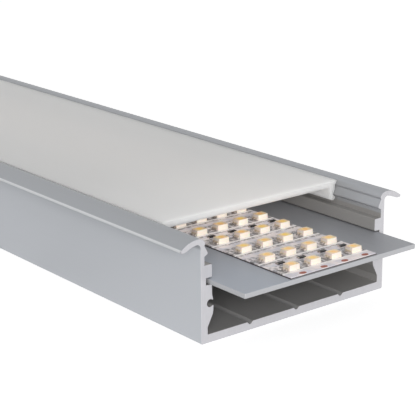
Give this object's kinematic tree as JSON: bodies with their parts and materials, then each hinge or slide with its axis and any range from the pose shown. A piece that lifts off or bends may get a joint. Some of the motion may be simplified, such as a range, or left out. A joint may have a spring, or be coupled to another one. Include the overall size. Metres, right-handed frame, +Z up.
{
  "type": "led strip aluminium profile",
  "caption": "Wide recessed aluminium profile with curled flanges, a sliding plate carrying a flexible light strip, and a snap-in opal cover slid partly back.",
  "frame": {"origin": "centre of the profile's underside, halfway along its length", "axes": "+Y along the profile, away from the sawn front end; +Z up through the open side; +X to the right seen from the front"},
  "size_m": [0.0896, 0.2969, 0.0328],
  "materials": {
    "anodised_profile": "fine matt anodised, sawn bright at the ends",
    "plate_aluminium": "satin mill finish",
    "opal_cover": "opal, smooth satin",
    "tape": "dark adhesive edge",
    "board_white": "white solder mask",
    "copper_pads": "bare copper",
    "resistor_black": "matt ceramic",
    "led_package": "white moulding",
    "phosphor": "yellow silicone"
  },
  "bodies": {
    "profile": {"profile_body": "anodised_profile"},
    "tray": {"mounting_plate": "plate_aluminium", "adhesive_tape": "tape", "strip_board": "board_white", "front_solder_pads": "copper_pads", "back_solder_pads": "copper_pads", "chip_resistors": "resistor_black", "led_row_01": "led_package", "led_row_02": "led_package", "led_row_03": "led_package", "led_row_04": "led_package", "led_row_05": "led_package", "led_row_06": "led_package", "led_row_07": "led_package", "led_row_08": "led_package", "led_row_09": "led_package", "led_row_10": "led_package", "led_row_11": "led_package", "led_row_12": "led_package", "led_row_13": "led_package", "led_row_14": "led_package", "led_row_15": "led_package", "led_row_16": "led_package", "led_row_17": "led_package", "led_row_18": "led_package", "led_row_19": "led_package", "led_row_20": "led_package", "led_row_21": "led_package", "led_row_22": "led_package", "led_row_23": "led_package", "phosphor_row_01": "phosphor", "phosphor_row_02": "phosphor", "phosphor_row_03": "phosphor", "phosphor_row_04": "phosphor", "phosphor_row_05": "phosphor", "phosphor_row_06": "phosphor", "phosphor_row_07": "phosphor", "phosphor_row_08": "phosphor", "phosphor_row_09": "phosphor", "phosphor_row_10": "phosphor", "phosphor_row_11": "phosphor", "phosphor_row_12": "phosphor", "phosphor_row_13": "phosphor", "phosphor_row_14": "phosphor", "phosphor_row_15": "phosphor", "phosphor_row_16": "phosphor", "phosphor_row_17": "phosphor", "phosphor_row_18": "phosphor", "phosphor_row_19": "phosphor", "phosphor_row_20": "phosphor", "phosphor_row_21": "phosphor", "phosphor_row_22": "phosphor", "phosphor_row_23": "phosphor"},
    "cover": {"diffuser_cover": "opal_cover"}
  },
  "joints": [
    {"name": "tray_slide", "type": "slide", "parent": "profile", "child": "tray", "axis": [0, 1, 0], "range_m": [-0.15, 0.0164]},
    {"name": "cover_slide", "type": "slide", "parent": "profile", "child": "cover", "axis": [0, 1, 0], "range_m": [-0.0205, 0.15]}
  ]
}
